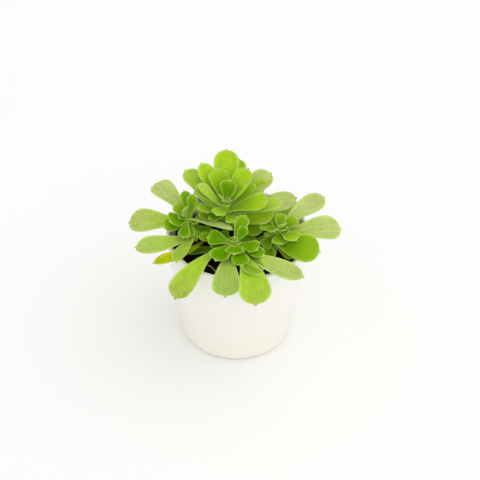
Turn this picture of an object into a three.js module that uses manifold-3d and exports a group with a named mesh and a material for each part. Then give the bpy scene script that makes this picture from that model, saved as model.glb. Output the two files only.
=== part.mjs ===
// A leafy aeonium of four rosettes in a tapered white ceramic pot.
// Millimetres, +Z up. The origin is the middle of the pot's underside, and -Y is the front.
import * as THREE from "three";
import { mergeVertices } from "three/addons/utils/BufferGeometryUtils.js";
import Module from "manifold-3d";

const wasm = await Module();
wasm.setup();

// The pot: rim and foot radii, and the oval quarter that rounds its foot
const POT_HEIGHT = 97;
const RIM_RADIUS = 55;
const FOOT_RADIUS = 45.5;
const FOOT_REACH = 4;
const FOOT_RISE = 7;
const WALL = 3;
const POT_SIDES = 40;

// The soil: its level, the height of its clods, the slit that it keeps to the pot and the stem
const SOIL_LEVEL = 83;
const CLOD_HEIGHT = 1.2;
const SLIT = 0.35;
const SOIL_SIDES = 20;
const BARK_CHIPS = 8;
const SEED = 7;

// The woody stem: its foot deep in the soil, its fork, the radii of trunk and branches, and how
// far below each green core its branch bends into line with it
const STEM_FOOT = new THREE.Vector3(-9, 1, 44);
const STEM_FORK = new THREE.Vector3(-9, 1, 72);
const TRUNK_RADIUS = 4.5;
const BRANCH_RADIUS = 2.7;
const KNEE = 5;
const STEM_SIDES = 9;

// A leaf: where it is widest, how slowly its stalk widens and how much more slowly the more it
// bends (one more power for each DROOP degrees), how far the widest place moves towards the tip
// for each degree of bend, how wide its foot and blunt tip are,
// and how far its margins curl up, all as shares of its width or length
const WIDEST = 0.74;
const STALK = 2.4;
const DROOP = 28;
const SHIFT = 0.0017;
const LEAF_FOOT = 0.24;
const LEAF_TIP = 0.12;
const CUP = 0.25;

// A rosette's green core, and the small leaves that close its crown
const CORE_RADIUS = 2.6;
const CORE_SIDES = 7;
const GAP = 0.3;
const GOLDEN_ANGLE = 137.5;
const BUD = { leaves: 8, shortest: 4, longest: 8, steepest: 75, flattest: 42, share: 0.8 };

// Each leaf of a rosette as a grower would measure it: the compass angle at which it leaves the
// stem, its rise there, its length, its width, how far it has bent down by its tip, its roll
// about its midrib, its swing to one side, and how far below the crown it sits. Angles are in
// degrees: 0 is right, 90 the back and -90 the front.
const MAIN_LEAVES = [
  [77, 66, 20, 13, 0, 0, 0, 2],
  [-149, 53, 14, 6, -20, 0, 0, 2],
  [-38, 45, 9, 6, -20, 0, 0, 2],
  [-90, 20, 15, 6, -30, 0, 0, 2],
  [165, 34, 29, 12, 5, -10, 0, 5],
  [-165, 30, 26, 11, 10, 0, 0, 12],
  [13, 55, 25, 13, 10, -10, 0, 5],
  [115, 52, 32, 17, 8, 5, 0, 6],
  [48, 52, 35, 17, 12, 0, 0, 6],
  [-9, 32, 35, 17, 14, 15, 0, 9],
  [92, 44, 49, 19, 13, 0, 0, 8],
  [76, 44, 45, 15, 20, 0, 0, 10],
  [178, 52, 33, 12, 8, -5, 0, 9],
  [-63, 8, 13, 11, 30, 0, 0, 10],
  [-124, 10, 14, 12, 20, 0, 0, 4],
  [30, 40, 31, 11, 10, 10, 0, 9],
  [133, 48, 42, 14, 8, -10, 0, 9],
  [-4, 27, 13, 9, 10, -30, 0, 14],
  [33, 30, 40, 13, 6, 20, 0, 11],
  [154, 43, 47, 16, 20, -10, -15, 12],
  [-1, 25, 45, 14, 14, 10, 0, 13],
  [-150, 12, 16, 12, 10, 0, 0, 12],
  [-178, 6, 22, 12, 0, 0, 0, 15],
  [170, 21, 21, 12, 10, 15, 0, 16],
  [172, 0, 17, 12, 10, 0, 0, 21],
  [-1, 30, 40, 17, 14, 30, 0, 23],
  [38, 38, 48, 18, 23, 15, 0, 12],
  [114, 25, 41, 15, 18, 0, 0, 14],
  [-18, 18, 30, 12, 14, 20, 0, 26],
  [91, 15, 48, 17, 30, 0, 0, 17],
  [19, 17, 58, 16, 15, 25, 0, 18],
  [61, 14, 47, 16, 23, 0, 0, 20],
  [120, 14, 48, 16, 24, 0, 0, 20],
  [36, 10, 52, 15, 22, 0, 0, 22],
  [141, 9, 51, 14, 23, 0, 0, 22],
  [72, 13, 69, 18, 30, 0, 0, 25],
  [108, 14, 67, 18, 30, 0, 0, 26],
];
const FRONT_LEAVES = [
  [-90, 22, 16, 14, 35, 0, 0, 1],
  [35, 42, 16, 10, 0, 0, 0, 3],
  [57, 52, 24, 11, 10, 0, 0, 6],
  [33, -2, 21, 11, 8, -8, 0, 9],
  [-30, 20, 21, 14, 28, 0, 0, 3],
  [173, 17, 21, 15, 15, -10, 0, 5],
  [-121, 18, 26, 15, 30, 0, 0, 4],
  [-76, 13, 26, 13, 30, 0, 0, 4],
  [-37, 17, 28, 12, 26, 0, 0, 6],
  [171, 13, 27, 11, 8, 0, 0, 10],
  [135, 3, 18, 12, 5, 0, 0, 9],
  [-165, 13, 18, 11, 20, 0, 0, 8],
  [-62, 18, 44, 17, 24, 0, 0, 14],
  [-57, 17, 68, 15, 25, 15, 40, 14],
  [-93, 34, 57, 20, 75, 0, 0, 17],
  [-60, 28, 66, 23, 65, 0, -25, 16],
  [-168, 1, 33, 8, 10, 0, 0, 20],
  [-123, 34, 73, 19, 70, 0, 0, 22],
];
const RIGHT_LEAVES = [
  [-62, 71, 9, 8, -10, 0, 0, 1],
  [30, 27, 18, 12, 10, 0, 0, 3],
  [85, 31, 16, 9, 0, 0, 0, 3],
  [107, 23, 21, 10, 0, 0, 0, 5],
  [-47, 18, 19, 14, 19, 0, 0, 3],
  [-80, 4, 14, 14, 20, 0, 0, 4],
  [-134, 36, 11, 10, 12, 40, 0, 3],
  [-150, 8, 11, 9, 15, 20, 0, 5],
  [-13, 6, 25, 10, 0, 0, 0, 6],
  [156, 15, 15, 12, 10, 0, 0, 5],
  [-130, -20, 14, 11, 20, 0, 0, 8],
  [-99, -32, 17, 10, 20, 0, 0, 9],
  [55, 16, 31, 11, 22, 10, -20, 6],
  [-71, 1, 16, 9, 20, -40, 0, 8],
  [41, 26, 50, 16, 16, 20, -12, 8],
  [4, 13, 54, 20, 25, 25, 10, 10],
  [-3, 6, 30, 11, 17, 10, 0, 11],
  [66, 17, 47, 13, 29, 0, 0, 12],
  [-87, -10, 21, 9, 31, 10, 0, 13],
  [-39, -9, 27, 13, 17, 0, 0, 14],
  [-51, 15, 46, 22, 16, 30, 40, 14],
];
const LEFT_LEAVES = [
  [-102, 77, 16, 8, 0, 60, 0, 3],
  [-147, 24, 18, 16, 11, -10, 0, 4],
  [-98, 15, 22, 9, 32, 0, 0, 4],
  [-27, 9, 11, 10, -10, 0, 0, 4],
  [-24, 6, 40, 9, 4, -12, 0, 1],
  [65, 60, 22, 9, -8, 0, 0, 4],
  [145, 38, 18, 12, 11, 0, 0, 5],
  [-95, 4, 18, 11, 20, 0, 0, 6],
  [112, 52, 26, 9, 8, 0, 0, 7],
  [-159, 12, 23, 14, 20, -10, 0, 7],
  [-84, 1, 20, 11, 25, 30, 0, 7],
  [22, 15, 16, 12, 10, 0, 0, 6],
  [-42, -1, 18, 12, 10, 0, 0, 9],
  [-74, -14, 16, 7, 20, 50, 0, 8],
  [115, 19, 32, 12, 22, 0, 0, 9],
  [131, 27, 51, 18, 30, -10, 0, 9],
  [168, 3, 55, 20, 22, -25, 0, 11],
  [-121, 16, 58, 16, 30, -15, -70, 18],
  [-109, 20, 47, 14, 30, 25, 0, 16],
];
const YELLOW_LEAF = [-103, 18, 55, 12, 30, 5, -70, 24];
const YELLOW_GAP = 1.6;

// A rosette's crown, the point that its stem comes from, and the length of its green core
const ROSETTES = {
  main: { crown: [-9, 0, 124], from: [-9, 1, 78], core: 29, leaves: MAIN_LEAVES },
  front: { crown: [-2, -26, 107], from: [-8, -6, 84], core: 30, leaves: FRONT_LEAVES },
  right: { crown: [33, -13, 109], from: [0, -4, 82], core: 24, leaves: RIGHT_LEAVES },
  left: { crown: [-40.5, 0, 109], from: [-12, -2, 82], core: 27, leaves: LEFT_LEAVES },
};

const COLOURS = {
  pot: new THREE.MeshStandardMaterial({ color: 0xf3f0e8, roughness: 0.55 }),
  soil: new THREE.MeshStandardMaterial({ color: 0x1d1611, roughness: 1 }),
  stem: new THREE.MeshStandardMaterial({ color: 0x75583a, roughness: 0.9 }),
  leaf: new THREE.MeshStandardMaterial({ color: 0x8ab83a, roughness: 0.5, side: THREE.DoubleSide }),
  yellow: new THREE.MeshStandardMaterial({ color: 0xd8d020, roughness: 0.5 }),
};

// A closed geometry, with its shared vertices merged, as a solid that can be joined and cut
function solid(geometry) {
  const bare = geometry.clone();
  bare.deleteAttribute("normal");
  bare.deleteAttribute("uv");
  const merged = mergeVertices(bare, 1e-4);
  return new wasm.Manifold(new wasm.Mesh({
    numProp: 3,
    vertProperties: new Float32Array(merged.attributes.position.array),
    triVerts: new Uint32Array(merged.index.array),
  }));
}

function mesh(name, body, material) {
  const { vertProperties, triVerts } = body.getMesh();
  const geometry = new THREE.BufferGeometry();
  geometry.setAttribute("position", new THREE.BufferAttribute(vertProperties, 3));
  geometry.setIndex(new THREE.BufferAttribute(triVerts, 1));
  geometry.computeVertexNormals();
  const piece = new THREE.Mesh(geometry, material);
  piece.name = name;
  return piece;
}

// A repeatable stream of numbers from 0 to 1
function numbers(seed) {
  let state = seed;
  return () => {
    state = (state * 1664525 + 1013904223) % 4294967296;
    return state / 4294967296;
  };
}

// The pot's outside from the middle of its underside up to the lip, moved inwards by inset
function outside(inset, top) {
  const points = [new THREE.Vector2(0, inset)];
  const taper = (RIM_RADIUS - FOOT_RADIUS) / POT_HEIGHT;
  const steps = 5;
  for (let k = 0; k <= steps; k += 1) {
    const turn = (Math.PI / 2) * (k / steps);
    const height = inset + (FOOT_RISE - inset) * (1 - Math.cos(turn));
    const radius = FOOT_RADIUS - inset - FOOT_REACH * (1 - Math.sin(turn)) + taper * height;
    points.push(new THREE.Vector2(radius, height));
  }
  points.push(new THREE.Vector2(FOOT_RADIUS + taper * top - inset, top));
  return points;
}

// A shell of even wall with a half-round lip, open at the top
function pot() {
  const lip = WALL / 2;
  const outer = outside(0, POT_HEIGHT - lip);
  const inner = outside(WALL, POT_HEIGHT - lip).reverse();
  const middle = RIM_RADIUS - lip;
  const round = [1, 2, 3].map((k) => {
    const turn = (Math.PI * k) / 4;
    return new THREE.Vector2(middle + lip * Math.cos(turn), POT_HEIGHT - lip + lip * Math.sin(turn));
  });
  return solid(new THREE.LatheGeometry([...outer, ...round, ...inner], POT_SIDES).rotateX(Math.PI / 2));
}

// The soil's top: three crossing waves stand for its clods
function soilTop(x, y) {
  const waves = Math.sin(x * 0.31 + 1) * Math.cos(y * 0.27) + Math.sin(x * 0.63 + y * 0.52)
    + Math.cos(x * 0.17 - y * 0.71);
  return SOIL_LEVEL + CLOD_HEIGHT * waves * 0.5;
}

function soil() {
  const profile = outside(WALL + SLIT, SOIL_LEVEL);
  const rings = 5;
  const edge = profile[profile.length - 1].x;
  for (let k = rings - 1; k >= 0; k -= 1) profile.push(new THREE.Vector2((edge * k) / rings, SOIL_LEVEL));
  const geometry = new THREE.LatheGeometry(profile, SOIL_SIDES);
  const at = geometry.attributes.position;
  for (let i = 0; i < at.count; i += 1) {
    if (Math.abs(at.getY(i) - SOIL_LEVEL) < 1e-6) at.setY(i, soilTop(at.getX(i), -at.getZ(i)));
  }
  geometry.rotateX(Math.PI / 2);
  const draw = numbers(SEED);
  let body = solid(geometry);
  for (let k = 0; k < BARK_CHIPS; k += 1) {
    const turn = 2 * Math.PI * draw();
    const out = 14 + 30 * draw();
    const chip = new THREE.CylinderGeometry(1 + draw(), 1.4 + 2 * draw(), 1.6 + draw(), 5);
    chip.scale(1, 1, 1.6 + draw());
    chip.rotateX(Math.PI / 2 + 0.5 * (draw() - 0.5)).rotateZ(Math.PI * draw());
    chip.translate(out * Math.cos(turn), out * Math.sin(turn), 0.2);
    chip.translate(0, 0, soilTop(out * Math.cos(turn), out * Math.sin(turn)));
    body = body.add(solid(chip));
  }
  return body;
}

// A straight round limb from one point to another, spread by extra for the hole that it stands in
function limb(from, to, radius, extra = 0, sides = STEM_SIDES) {
  const along = to.clone().sub(from);
  const length = along.length() + 2 * extra;
  const geometry = new THREE.CylinderGeometry(radius + extra, radius + extra, length, sides);
  geometry.translate(0, along.length() / 2, 0);
  geometry.applyQuaternion(new THREE.Quaternion().setFromUnitVectors(
    new THREE.Vector3(0, 1, 0), along.normalize()));
  geometry.translate(from.x, from.y, from.z);
  return solid(geometry);
}

// The outer skin of a solid's greatest body: loose crumbs and sealed pockets are left out
function largest(body) {
  return body.decompose().sort((a, b) => b.volume() - a.volume())[0];
}

// The trunk with a branch to just below each rosette's core, and a knuckle at the fork
function stem(extra = 0) {
  let body = limb(STEM_FOOT, STEM_FORK, TRUNK_RADIUS, extra);
  for (const { crown, from, core } of Object.values(ROSETTES)) {
    const top = new THREE.Vector3(...crown);
    const down = new THREE.Vector3(...from).sub(top).normalize();
    const end = top.clone().addScaledVector(down, core + GAP);
    const knee = top.clone().addScaledVector(down, core + KNEE);
    const start = STEM_FORK.clone().add(new THREE.Vector3(0, 0, -2));
    const joint = new THREE.IcosahedronGeometry(1.1 * BRANCH_RADIUS + extra, 0);
    joint.translate(knee.x, knee.y, knee.z);
    body = body.add(limb(start, knee, BRANCH_RADIUS, extra)).add(limb(knee, end, BRANCH_RADIUS, extra));
    body = body.add(solid(joint));
  }
  return largest(body);
}

// The unit direction at a compass angle and a rise, both in degrees
function direction(azimuth, rise) {
  const turn = THREE.MathUtils.degToRad(azimuth);
  const climb = THREE.MathUtils.degToRad(rise);
  const level = Math.cos(climb);
  return new THREE.Vector3(level * Math.cos(turn), level * Math.sin(turn), Math.sin(climb));
}

// Half a leaf's width at s, from 0 at its foot to 1 at its tip, as a share of its greatest half
function halfWidth(s, bend) {
  const power = STALK + Math.max(bend, 0) / DROOP;
  const widest = WIDEST + SHIFT * Math.max(bend, 0);
  if (s < widest) return LEAF_FOOT + (1 - LEAF_FOOT) * Math.sin((Math.PI / 2) * (s / widest)) ** power;
  return Math.max(Math.sqrt(1 - ((s - widest) / (1 - widest)) ** 2), LEAF_TIP);
}

// A blade: its midrib is an arc that bends down and swings aside, its section a shallow gutter
// that is thick in the middle and thin at the margins. Both faces are split alike.
function leaf(base, [azimuth, rise, length, width, bend, roll, swing]) {
  const rows = width < 7 ? 3 : width < 11 ? 4 : 5;
  const columns = width < 19 ? 2 : 4;
  const thickness = 0.9 + 0.06 * width;
  const positions = { top: [], bottom: [] };
  const along = (s) => direction(azimuth + swing * s, rise - bend * s);
  const middle = base.clone();
  let before = 0;
  for (let i = 0; i <= rows; i += 1) {
    const s = 1 - (1 - i / rows) ** 1.5;
    middle.addScaledVector(along((s + before) / 2), length * (s - before));
    before = s;
    const forward = along(s);
    const side = direction(azimuth + swing * s + 90, 0);
    side.applyAxisAngle(forward, THREE.MathUtils.degToRad(roll));
    const normal = forward.clone().cross(side);
    const half = (width / 2) * halfWidth(s, bend);
    for (let j = 0; j <= columns; j += 1) {
      const t = (2 * j) / columns - 1;
      const thick = Math.max(thickness * (1 - 0.55 * t * t) * (1 - 0.35 * s), 0.7);
      const point = middle.clone().addScaledVector(side, half * t);
      point.addScaledVector(normal, CUP * half * t * t);
      positions.top.push(point.clone().addScaledVector(normal, thick / 2));
      positions.bottom.push(point.clone().addScaledVector(normal, -thick / 2));
    }
  }
  const corners = [];
  const quad = (a, b, c, d) => corners.push(a, b, c, a, c, d);
  const row = columns + 1;
  for (let i = 0; i < rows; i += 1) {
    for (let j = 0; j < columns; j += 1) {
      const ring = [i * row + j, (i + 1) * row + j, (i + 1) * row + j + 1, i * row + j + 1];
      const [a, b, c, d] = ring.map((k) => positions.top[k]);
      const [e, f, g, h] = ring.map((k) => positions.bottom[k]);
      corners.push(a, b, c, a, c, d, e, g, f, e, h, g);
      if (j === 0) quad(a, e, f, b);
      if (j === columns - 1) quad(d, c, g, h);
      if (i === 0) quad(a, d, h, e);
      if (i === rows - 1) quad(b, f, g, c);
    }
  }
  return solid(new THREE.BufferGeometry().setFromPoints(corners));
}

// A green core with every leaf's foot sunk in its axis, closed by a bud of small leaves that
// follow the golden angle
function rosette({ crown, from, core, leaves }) {
  const top = new THREE.Vector3(...crown);
  const down = new THREE.Vector3(...from).sub(top).normalize();
  const tilt = new THREE.Quaternion().setFromUnitVectors(new THREE.Vector3(0, 0, -1), down);
  let body = limb(top.clone().addScaledVector(down, core), top, CORE_RADIUS, 0, CORE_SIDES);
  for (const row of leaves) body = body.add(leaf(top.clone().addScaledVector(down, row[7]), row));
  for (let k = 0; k < BUD.leaves; k += 1) {
    const age = (k + 1) / BUD.leaves;
    const way = direction(GOLDEN_ANGLE * k, BUD.steepest + (BUD.flattest - BUD.steepest) * age);
    way.applyQuaternion(tilt);
    const length = BUD.shortest + (BUD.longest - BUD.shortest) * age;
    const azimuth = THREE.MathUtils.radToDeg(Math.atan2(way.y, way.x));
    const rise = THREE.MathUtils.radToDeg(Math.asin(way.z));
    const small = [azimuth, rise, length, BUD.share * length, -25, 0, 0];
    body = body.add(leaf(top.clone().addScaledVector(down, 1), small));
  }
  return largest(body);
}

// The old yellow leaf has come away from the left rosette's core, and lies just clear of it
function yellowLeaf() {
  const { crown, from } = ROSETTES.left;
  const [azimuth, rise, , , , , , drop] = YELLOW_LEAF;
  const top = new THREE.Vector3(...crown);
  const down = new THREE.Vector3(...from).sub(top).normalize();
  const foot = top.addScaledVector(down, drop);
  return leaf(foot.addScaledVector(direction(azimuth, rise), CORE_RADIUS + YELLOW_GAP), YELLOW_LEAF);
}

const part = new THREE.Group();
part.add(mesh("pot", pot(), COLOURS.pot));
part.add(mesh("stem", stem(), COLOURS.stem));
part.add(mesh("soil", largest(soil().subtract(stem(SLIT))), COLOURS.soil));
for (const [name, plan] of Object.entries(ROSETTES)) {
  part.add(mesh(`rosette_${name}`, rosette(plan), COLOURS.leaf));
}
part.add(mesh("leaf_yellow", yellowLeaf(), COLOURS.yellow));

export default part;
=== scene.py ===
import math

import bpy
import numpy as np
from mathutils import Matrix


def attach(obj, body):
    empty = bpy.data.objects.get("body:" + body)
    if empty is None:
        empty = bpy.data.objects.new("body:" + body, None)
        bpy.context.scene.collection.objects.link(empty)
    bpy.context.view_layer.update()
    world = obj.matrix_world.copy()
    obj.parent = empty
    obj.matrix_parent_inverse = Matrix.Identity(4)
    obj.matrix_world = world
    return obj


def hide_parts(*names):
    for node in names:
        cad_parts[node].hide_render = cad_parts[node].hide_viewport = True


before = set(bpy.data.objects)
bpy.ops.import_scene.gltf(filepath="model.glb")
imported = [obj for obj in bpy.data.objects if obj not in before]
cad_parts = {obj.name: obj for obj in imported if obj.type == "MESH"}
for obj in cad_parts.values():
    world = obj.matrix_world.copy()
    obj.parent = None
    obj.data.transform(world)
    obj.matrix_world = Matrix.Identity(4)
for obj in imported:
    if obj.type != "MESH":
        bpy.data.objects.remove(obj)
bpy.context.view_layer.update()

# The photograph: 480 by 480 pixels, taken with a longish lens from 40 degrees above the table,
# straight at the front of the pot, and held a touch askew. The camera's place is in metres.
IMAGE_PIXELS = 480
FOCAL_PIXELS = 850
SENSOR_MM = 36
CAMERA_RISE = math.radians(40)
CAMERA_DISTANCE = 0.655
CAMERA_AIM_HEIGHT = 0.088
CAMERA_RIGHT = 0.0016
CAMERA_ROLL = math.radians(1.3)

camera_data = bpy.data.cameras.new("camera")
camera_data.sensor_width = SENSOR_MM
camera_data.lens = FOCAL_PIXELS * SENSOR_MM / IMAGE_PIXELS
camera = bpy.data.objects.new("camera", camera_data)
camera.location = (
    CAMERA_RIGHT,
    -CAMERA_DISTANCE * math.cos(CAMERA_RISE),
    CAMERA_DISTANCE * math.sin(CAMERA_RISE) + CAMERA_AIM_HEIGHT,
)
camera.rotation_euler = (math.pi / 2 - CAMERA_RISE, 0, 0)
camera.rotation_euler.rotate_axis("Z", CAMERA_ROLL)
bpy.context.scene.collection.objects.link(camera)
bpy.context.scene.camera = camera
bpy.context.scene.view_settings.view_transform = "Standard"


# The table: a plain white paper sweep, lit by white walls all round, a little brighter towards
# the front right, and by one large soft window high on the right. Their shadow is faint and
# close: it gathers at the foot of the pot, below and to its left. The window's place and size
# are in metres. The sizes of all the pieces, from the floor on, are in millimetres.
MM = 0.001
FLOOR_HALF = 1500
FLOOR_WHITE = (0.955, 0.955, 0.945)
WALL_WHITE = (1, 1, 1, 1)
WALLS_DIM = 0.79
WALLS_BRIGHT = 1.16
BRIGHT_SIDE = (0.6, -0.79, 0.1)
WINDOW_PLACE = (0.8, 0.25, 1.5)
WINDOW_TARGET = (0, 0, 0.1)
WINDOW_SIZE = 2.0
WINDOW_WATTS = 2.5
WINDOW_WARMTH = (1.0, 0.985, 0.96)


def make_mesh(name, points, faces, attributes=None):
    """A smooth mesh object from points in millimetres, faces and one number per point for each
    named attribute."""
    data = bpy.data.meshes.new(name)
    data.from_pydata((np.asarray(points) * MM).tolist(), [], faces)
    for key, values in (attributes or {}).items():
        data.attributes.new(key, "FLOAT", "POINT").data.foreach_set("value", np.asarray(values, np.float32))
    data.polygons.foreach_set("use_smooth", np.ones(len(faces), bool))
    data.update()
    piece = bpy.data.objects.new(name, data)
    bpy.context.scene.collection.objects.link(piece)
    return piece


def add_node(tree, kind, inputs=None, **settings):
    """Adds a shader node; an input is a value or another node's output socket."""
    node = tree.nodes.new(kind)
    for key, value in settings.items():
        setattr(node, key, value)
    for key, value in (inputs or {}).items():
        if isinstance(value, bpy.types.NodeSocket):
            tree.links.new(value, node.inputs[key])
        else:
            node.inputs[key].default_value = value
    return node


def new_material(name):
    """A material with one Principled shader: the material, its node tree and that shader."""
    material = bpy.data.materials.new(name)
    material.use_nodes = True
    return material, material.node_tree, material.node_tree.nodes["Principled BSDF"]


def spread(tree, value, low, high, start=0.0, end=1.0):
    """Carries a value smoothly from start at low to end at high, and holds it beyond them."""
    return add_node(tree, "ShaderNodeMapRange", {
        "Value": value, "From Min": low, "From Max": high, "To Min": start, "To Max": end,
    }, interpolation_type="SMOOTHSTEP").outputs["Result"]


def scale_colour(tree, colour, factor):
    """The colour times a number."""
    return add_node(tree, "ShaderNodeVectorMath", {0: colour, "Scale": factor}, operation="SCALE").outputs[0]


def speckle(tree, vector, size, detail=2.0):
    """Soft noise from 0 to 1, with patches of about size in the vector's units, which are
    metres where it is the Object coordinates."""
    noise = add_node(tree, "ShaderNodeTexNoise", {"Vector": vector, "Scale": 1 / size, "Detail": detail})
    return noise.outputs["Fac"]


paper, tree, surface = new_material("white_paper")
place = add_node(tree, "ShaderNodeTexCoord").outputs["Object"]
surface.inputs["Roughness"].default_value = 0.8
surface.inputs["Specular IOR Level"].default_value = 0.1
paper_tone = spread(tree, speckle(tree, place, 0.25), 0.3, 0.7, 0.995, 1.0)
tree.links.new(scale_colour(tree, FLOOR_WHITE, paper_tone), surface.inputs["Base Color"])

floor_corners = [(x * FLOOR_HALF, y * FLOOR_HALF, 0) for x, y in ((-1, -1), (1, -1), (1, 1), (-1, 1))]
floor = make_mesh("floor", floor_corners, [(0, 1, 2, 3)])
floor.data.materials.append(paper)

world = bpy.data.worlds.new("white_room")
bpy.context.scene.world = world
world.use_nodes = True
tree = world.node_tree
walls = tree.nodes["Background"]
walls.inputs["Color"].default_value = WALL_WHITE
facing = add_node(tree, "ShaderNodeVectorMath", {
    0: add_node(tree, "ShaderNodeTexCoord").outputs["Generated"], 1: BRIGHT_SIDE,
}, operation="DOT_PRODUCT").outputs["Value"]
tree.links.new(spread(tree, facing, -1.0, 1.0, WALLS_DIM, WALLS_BRIGHT), walls.inputs["Strength"])

window_data = bpy.data.lights.new("window", "AREA")
window_data.size = WINDOW_SIZE
window_data.energy = WINDOW_WATTS
window_data.color = WINDOW_WARMTH
window = bpy.data.objects.new("window", window_data)
window.location = WINDOW_PLACE
window_aim = np.array(WINDOW_TARGET) - np.array(WINDOW_PLACE)
window.rotation_euler = (
    math.acos(-window_aim[2] / np.linalg.norm(window_aim)),
    0,
    math.atan2(-window_aim[0], window_aim[1]),
)
bpy.context.scene.collection.objects.link(window)


# The pot is one thrown or cast shell of white stoneware with a thin satin glaze. Its colour has
# painted shade that grows darker and creamier towards its foot. It has a flat underside, a tight
# round edge at the foot, straight flaring sides and a half-round lip.
POT_HEIGHT = 97
RIM_RADIUS = 55
FOOT_RADIUS = 45.5
FOOT_REACH = 4
FOOT_RISE = 7
WALL = 3
LIP = WALL / 2
TAPER = (RIM_RADIUS - FOOT_RADIUS) / POT_HEIGHT
POT_SIDES = 160
FOOT_ROWS = 20
SIDE_ROWS = 12
LIP_ROWS = 12
POT_WHITE = (0.90, 0.885, 0.83, 1)
# The darker cream paints shade towards the foot and also tints the glaze's soft patches; that painted shade
# fades out by the height below.
POT_CREAM_AND_SHADE = (0.88, 0.845, 0.745, 1)
FOOT_SHADE_TOP = 80
UNDERSIDE_RING = 0.5


def pot_outside(inset, top):
    """Radius and height up the pot's outside, or up a shape that lies an inset within it: a flat
    underside, then an oval quarter whose radius follows a sine and whose height follows
    1 - cosine, then the taper."""
    turn = np.linspace(0, math.pi / 2, FOOT_ROWS)
    height = inset + (FOOT_RISE - inset) * (1 - np.cos(turn))
    radius = FOOT_RADIUS - inset - FOOT_REACH * (1 - np.sin(turn)) + TAPER * height
    rise = np.linspace(FOOT_RISE, top, SIDE_ROWS)[1:]
    return (
        np.concatenate(([radius[0] * UNDERSIDE_RING], radius, FOOT_RADIUS + TAPER * rise - inset)),
        np.concatenate(([inset], height, rise)),
    )


def ring_faces(rings, sides):
    """Faces of a closed shape whose points are numbered ring by ring, and then the two end points:
    four-sided faces between neighbouring rings, and a fan from each end point to its ring."""
    i, j = np.meshgrid(np.arange(rings - 1), np.arange(sides), indexing="ij")
    k = (j + 1) % sides
    quads = np.stack([i * sides + j, i * sides + k, (i + 1) * sides + k, (i + 1) * sides + j], -1)
    j = np.arange(sides)
    k = (j + 1) % sides
    last = (rings - 1) * sides
    first_fan = np.stack([np.full(sides, rings * sides), k, j], -1)
    last_fan = np.stack([np.full(sides, rings * sides + 1), last + j, last + k], -1)
    return quads.reshape(-1, 4).tolist() + first_fan.tolist() + last_fan.tolist()


def turned(radius, height, sides):
    """Points and faces of a closed shape turned about the Z axis: each profile point goes round
    a circle, and a point on the axis closes each end."""
    angle = np.linspace(0, 2 * math.pi, sides, endpoint=False)
    x = radius[:, None] * np.cos(angle)
    y = radius[:, None] * np.sin(angle)
    z = np.repeat(height[:, None], sides, axis=1)
    points = np.stack([x, y, z], -1).reshape(-1, 3)
    points = np.vstack([points, [[0, 0, height[0]], [0, 0, height[-1]]]])
    return points, ring_faces(len(radius), sides)


def mix_colour(tree, share, first, second):
    """First colour where share is 0, second where it is 1."""
    return add_node(tree, "ShaderNodeMix", {0: share, 6: first, 7: second}, data_type="RGBA").outputs[2]


def times(tree, first, second):
    """The product of two values."""
    return add_node(tree, "ShaderNodeMath", {0: first, 1: second}, operation="MULTIPLY").outputs[0]


outer_radius, outer_height = pot_outside(0, POT_HEIGHT - LIP)
inner_radius, inner_height = pot_outside(WALL, POT_HEIGHT - LIP)
lip_turn = np.linspace(0, math.pi, LIP_ROWS)[1:-1]
radius = np.concatenate((outer_radius, RIM_RADIUS - LIP + LIP * np.cos(lip_turn), inner_radius[::-1]))
height = np.concatenate((outer_height, POT_HEIGHT - LIP + LIP * np.sin(lip_turn), inner_height[::-1]))
pot = make_mesh("white_pot", *turned(radius, height, POT_SIDES))

glaze, tree, surface = new_material("satin_white_glaze")
place = add_node(tree, "ShaderNodeTexCoord").outputs["Object"]
level = add_node(tree, "ShaderNodeSeparateXYZ", {0: place}).outputs["Z"]
# Painted shade: darker and creamier lower down, towards the foot. Creamier also in soft patches,
# with a fine grain.
foot_shade_and_cream = times(
    tree,
    spread(tree, level, 0.0, FOOT_SHADE_TOP * MM, 0.75, 0.1),
    spread(tree, speckle(tree, place, 0.03), 0.3, 0.7, 0.75, 1.0),
)
tone = mix_colour(tree, foot_shade_and_cream, POT_WHITE, POT_CREAM_AND_SHADE)
grain = spread(tree, speckle(tree, place, 0.0012), 0.35, 0.7, 0.985, 1.0)
tree.links.new(scale_colour(tree, tone, grain), surface.inputs["Base Color"])
satin = spread(tree, speckle(tree, place, 0.008), 0.3, 0.7, 0.42, 0.55)
tree.links.new(satin, surface.inputs["Roughness"])
surface.inputs["Specular IOR Level"].default_value = 0.35
ripple = add_node(tree, "ShaderNodeBump", {
    "Height": speckle(tree, place, 0.004, 3.0), "Strength": 0.06, "Distance": 0.001,
})
tree.links.new(ripple.outputs["Normal"], surface.inputs["Normal"])
pot.data.materials.append(glaze)
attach(pot, "root")
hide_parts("pot")


# The soil is loose, nearly black peat that was pressed in to just under the rim. It has crumbs
# and bits of bark on it, and it is one body with them.
SOIL_LEVEL = 83
SOIL_SHOULDER = 2
SLIT = 0.35
SOIL_SIDES = 180
SOIL_RINGS = 64
CLOD_HEIGHT = 1.2
FINE_CLOD_HEIGHT = 0.35
RIM_CLEARANCE = 2.5
CRUMBS = 700
BARK_CHIPS = 34
LUMP_SIDES = 6
LUMP_RINGS = 3
LUMP_STRETCH = (0.6, 1.0)
LUMP_DENTS = (0.72, 1.12)
LUMP_TILT = 0.3
LUMP_RISE = 0.3
LUMP_BROWNS = (0.2, 1.0)
SOIL_SEED = 7
PEAT_DARK = (0.0065, 0.0052, 0.0042, 1)
PEAT_BROWN = (0.032, 0.021, 0.013, 1)
BARK_BROWN = (0.105, 0.055, 0.026, 1)


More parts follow.
